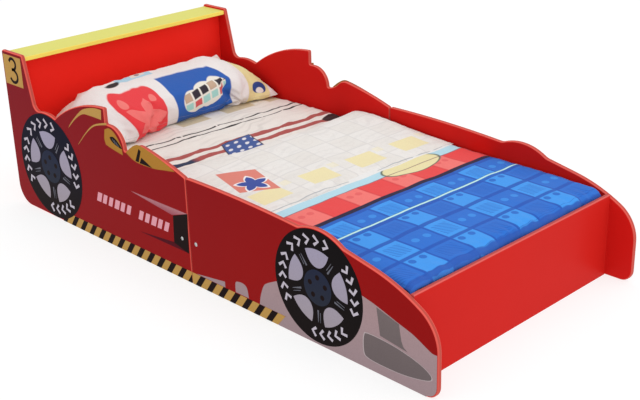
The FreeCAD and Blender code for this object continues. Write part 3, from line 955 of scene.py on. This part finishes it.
def waves(u, v, seed, count=26, longest=0.42, shortest=0.05):
    """Smooth unevenness from a fixed set of sine waves, about -1 to 1."""
    draw = np.random.default_rng(seed)
    total = np.zeros(np.broadcast(u, v).shape)
    for _ in range(count):
        length = shortest * (longest / shortest) ** draw.random()
        turn, phase = draw.random(2) * math.tau
        total += (length / longest) ** 0.7 * np.sin(
            math.tau * (u * math.cos(turn) + v * math.sin(turn)) / length + phase)
    return total / np.abs(total).max()


def duvet_drape(s, v, from_foot, edge):
    """How far folds lift the duvet off its line: broad ones, puckers by its rim, and gathers at
    its foot."""
    broad = waves(s, v, 5) * 0.0024 + waves(s * 0.4, v * 1.4, 9, 30, 0.3, 0.025) * 0.0018
    puckers = waves(s, v, 21, 30, 0.06, 0.018) * 0.0030 * np.exp(-(edge / 0.022) ** 2)
    gathers = np.abs(np.sin(v * 78 + 2.2 * np.sin(v * 19))) - 0.5
    return broad + puckers + gathers * 0.0060 * np.exp(-((from_foot - 0.034) / 0.022) ** 2)


def droop_at_foot(at, half, hi):
    """Let the foot's corners hang a little, and keep the duvet between the boards."""
    near_foot = np.clip((at[:, 0] - (hi.x - 0.13)) / 0.11, 0, 1)
    over_side = np.clip((np.abs(at[:, 1]) - (half - 0.012)) / 0.012, 0, 1)
    at[:, 2] -= 0.013 * near_foot * near_foot * (3 - 2 * near_foot) * over_side
    at[:, 0] = np.minimum(at[:, 0], hi.x)
    at[:, 1] = np.clip(at[:, 1], -hi.y - 0.001, hi.y + 0.001)


def add_duvet():
    """The duvet: puffed flat, then laid along the bed with its top end folded back."""
    lo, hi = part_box("duvet")
    half = hi.y - 0.0015
    rows, columns = 160, 2 * round(half / 0.0085) + 1
    across = np.linspace(-half, half, columns)
    line, travel = quilt_path(hi.x - REAR_X - FOLD, rows)
    from_foot = travel[:, None]
    s, v = np.meshgrid(travel - travel[-1] / 2, across, indexing="ij")
    edge = np.minimum(np.minimum(from_foot, travel[-1] - from_foot), half - np.abs(across))
    rim = np.clip(edge / 0.02, 0, 1)
    loft = 0.0042 * np.sqrt(1 - (1 - rim) ** 2)
    case = Envelope(np.stack([s, v, loft], -1), np.stack([s, v, -loft], -1))
    cover = cloth_material("duvet_cover", cover_pattern)
    reverse = cloth_material("duvet_reverse", reverse_pattern)
    quilt = mesh_object("duvet_quilt", case.points, case.upper + case.lower,
                        materials=[cover, reverse])
    puff(quilt, 1.2, 0.004, frames=16, growth=0.012, pinned=~case.inner)

    # Lay it on the bed: its flat length follows the folded line, and its loft the line's normal.
    # The top face stays above the line, so that the sheet can't show through.
    at = case.grids(points_of(quilt))
    station = np.interp(at[..., 0], s[:, 0], np.arange(rows))
    step = station.astype(int).clip(0, rows - 2)
    part = (station - step)[..., None]
    normal = line_normals(line)
    here = line[step] * (1 - part) + line[step + 1] * part
    out = normal[step] * (1 - part) + normal[step + 1] * part
    least = np.array([0.0015, -1.0]).reshape(2, 1, 1)
    lift = np.maximum(at[..., 2] + duvet_drape(s, v, from_foot, edge) * rim, least * rim)
    here += out * lift[..., None]
    ahead = here[..., 0]
    height = here[..., 1] * np.interp(across, [-0.36, -0.26, -0.12], [0.55, 0.72, 1.0])

    # The fold runs askew, and the hem slightly so; between them the shift fades over the flap.
    fold_x = REAR_X + MM * np.interp(across, [-0.36, -0.2, -0.1, 0.12, 0.35],
                                     [656, 674, 708, 711, 684])
    hem_x = REAR_X + MM * 1053 + 0.022 * across
    end_shift = np.where(from_foot > travel[-1] - FLAP - 0.05, hem_x - FLAP, REAR_X + FOLD)
    by_fold = np.clip(1 - ahead / FLAP, 0, 1)
    x = ahead + fold_x * by_fold + end_shift * (1 - by_fold)
    result = case.join(*np.stack([x, at[..., 1], lo.z + height], -1))
    droop_at_foot(result, half, hi)
    set_points(quilt, result)
    set_flat(quilt.data, result[:, :2])
    face_materials = np.repeat([0, 1], len(case.upper))
    quilt.data.polygons.foreach_set("material_index", face_materials)
    tidy_normals(quilt)
    soften_shading(quilt, 1)
    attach(quilt, "duvet")
    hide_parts("duvet")


def pillow_line(lo, hi):
    """The pillow's middle line (x, z), from its front seam low on the sheet to its rear seam,
    which rides up the headboard."""
    return np.array(smooth([
        (hi.x - 0.020, lo.z + 0.010), (hi.x - 0.074, lo.z + 0.036),
        ((lo.x + hi.x) / 2, lo.z + 0.060), (lo.x + 0.054, lo.z + 0.070),
        (lo.x + 0.003, lo.z + 0.088)], 12))


def press_down(value, floor, room):
    """Keep values above a floor, squeezing what would pass below it into the last bit of room."""
    low = floor + room
    return np.where(value < low, floor + room * np.exp(np.minimum(value - low, 0) / room), value)


def straighten(at):
    """Scale a blown case's two grids to -1 to 1 each way, with their seams nearly straight."""
    low, high = at.min((0, 1, 2)), at.max((0, 1, 2))
    at = (at - (high + low) / 2) / ((high - low) / 2)
    rear, front = at[0, 0, :, 0], at[0, -1, :, 0]
    near, far = at[0, :, :1, 1], at[0, :, -1:, 1]
    straight_x = 2 * (at[..., 0] - rear) / (front - rear) - 1
    straight_y = 2 * (at[..., 1] - near) / (far - near) - 1
    at[..., 0] += 0.85 * (straight_x - at[..., 0])
    at[..., 1] += 0.6 * (straight_y - at[..., 1])
    return at


def prop_up(at, lo, hi):
    """Bend a case along the pillow's line. Its ends droop, and its front runs askew."""
    size = hi - lo
    side, up = at[..., 1], at[..., 2]
    way = 0.5 - at[..., 0] / 2
    line = pillow_line(lo, hi)
    normal = line_normals(line)
    share = travelled(line) / travelled(line)[-1]
    near_rim = np.abs(at[..., :2]).max(axis=-1)
    ridges = 0.35 - np.abs(waves(at[..., 0] * 0.13, side * 0.33, 17, 36, 0.15, 0.022)) ** 0.7
    crumple = ridges * (0.0024 + 0.0105 * near_rim ** 6) * (1 - near_rim ** 40)
    near_end = np.clip((-side - 0.62) / 0.38, 0, 1)
    far_end = np.clip((side - 0.55) / 0.45, 0, 1)
    saddle = np.exp(-((side - 0.15) / 0.3) ** 2)
    plump = up * size.z * 0.5 * (1 - 0.42 * far_end) + crumple * np.sign(up)
    x = np.interp(way, share, line[:, 0]) + plump * np.interp(way, share, normal[:, 0])
    z = np.interp(way, share, line[:, 1]) + plump * np.interp(way, share, normal[:, 1])
    z -= (0.052 * near_end ** 1.9 + 0.012 * far_end + 0.011 * saddle - 0.013 * side) * way
    z -= 0.012 * far_end * np.exp(-((way - 0.84) / 0.09) ** 2)
    z += 0.016 * np.clip((side - 0.8) / 0.2, 0, 1) * np.clip((way - 0.86) / 0.14, 0, 1)
    y = (lo + hi).y / 2 + side * size.y / 2
    askew = np.interp(y, [-0.316, -0.20, -0.05, 0.18, 0.34], [0.038, 0.034, -0.010, -0.012, 0.010])
    x += np.maximum(1 - way, 0) ** 1.5 * askew
    y -= 0.036 * far_end * way
    return np.stack([press_down(x, lo.x, 0.006), y, press_down(z, lo.z + 0.001, 0.008)], -1)


def add_pillow():
    """The pillow: a flat case blown up, then propped with its rear edge up the headboard."""
    lo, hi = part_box("pillow")
    deep, wide, _ = hi - lo
    centre = (lo + hi) / 2
    cell = 0.0075
    flat_deep, flat_wide = deep * 1.16, wide * 1.03
    u, v = np.meshgrid(np.linspace(-0.5, 0.5, round(flat_deep / cell)),
                       np.linspace(-0.5, 0.5, round(flat_wide / cell)), indexing="ij")
    loft = 0.012 * (1 - (2 * np.abs(u)) ** 4) * (1 - (2 * np.abs(v)) ** 6)
    top = np.stack([u * flat_deep, v * flat_wide, loft], -1)
    case = Envelope(top, top * np.array([1, 1, -1]))
    flat = np.stack([centre.x + case.points[:, 0] * deep / flat_deep,
                     centre.y + case.points[:, 1] * wide / flat_wide], -1)
    cotton = cloth_material("pillow_case", pillow_pattern, creases=22.0)
    pillow = mesh_object("pillow_case", case.points, case.upper + case.lower, flat, [cotton])
    puff(pillow, 5.0, 0.09, frames=30, growth=0.035)
    blown = straighten(case.grids(points_of(pillow)))
    set_points(pillow, case.join(*prop_up(blown, lo, hi)))
    tidy_normals(pillow)
    soften_shading(pillow, 1)
    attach(pillow, "pillow")
    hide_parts("pillow")


# Studio

def add_floor():
    """A wide pale floor."""
    material, tree, shader, place = new_material("studio_floor", roughness=0.9,
                                                 specular_ior_level=0.1)
    tone = paint(tree, ink(150, 150, 150), (noise(tree, place, 0.8, 2) * 0.3, ink(147, 147, 147)))
    tree.links.new(tone, shader.inputs["Base Color"])
    shader.inputs["Emission Color"].default_value = (1, 1, 1, 1)
    shader.inputs["Emission Strength"].default_value = 0.74
    points = [(x, y, 0) for x, y in disc((0, 0), 12, 48)]
    floor = mesh_object("studio_floor", points, [range(48)], materials=[material])


def add_light(name, place, target, size, power):
    data = bpy.data.lights.new(name, "AREA")
    data.shape = "DISK"
    data.size = size
    data.energy = power
    light = add_object(name, data)
    light.location = place
    light.rotation_mode = "QUATERNION"
    light.rotation_quaternion = (Vector(target) - Vector(place)).to_track_quat("-Z", "Y")


def add_studio():
    bpy.context.scene.view_settings.view_transform = "Standard"
    world = bpy.data.worlds.new("studio")
    world.use_nodes = True
    sky = world.node_tree.nodes["Background"].inputs
    sky["Color"].default_value = (1, 1, 1, 1)
    sky["Strength"].default_value = 0.82
    bpy.context.scene.world = world
    add_light("key", (0.6, 0.4, 3.4), (0, 0, 0.2), 3.2, 18)
    add_light("nose_side", (3.2, -0.3, 2.2), (-0.3, 0, 0.2), 2.0, 13)
    add_light("near_side", (-0.4, -3.4, 1.6), (0, 0, 0.2), 2.0, 9)
    add_floor()


def add_camera():
    """A long lens on the nose's near side, looking down on the bed."""
    azimuth, elevation, roll = (math.radians(a) for a in (45.77, 22.37, -1.503))
    back = Vector((math.sin(azimuth) * math.cos(elevation),
                   -math.cos(azimuth) * math.cos(elevation), math.sin(elevation)))
    data = bpy.data.cameras.new("camera")
    data.lens = 64.36
    data.sensor_width = 36
    data.shift_x = -0.01317
    data.shift_y = -0.00538
    camera = add_object("camera", data)
    camera.location = (2.0965, -1.9231, 1.2873)
    camera.rotation_mode = "QUATERNION"
    level = (-back).to_track_quat("-Z", "Y")
    camera.rotation_quaternion = level @ Quaternion((0, 0, 1), roll)
    bpy.context.scene.camera = camera


dress_frame()
add_artwork()
add_mattress()
add_sheet()
add_duvet()
add_pillow()
add_studio()
add_camera()
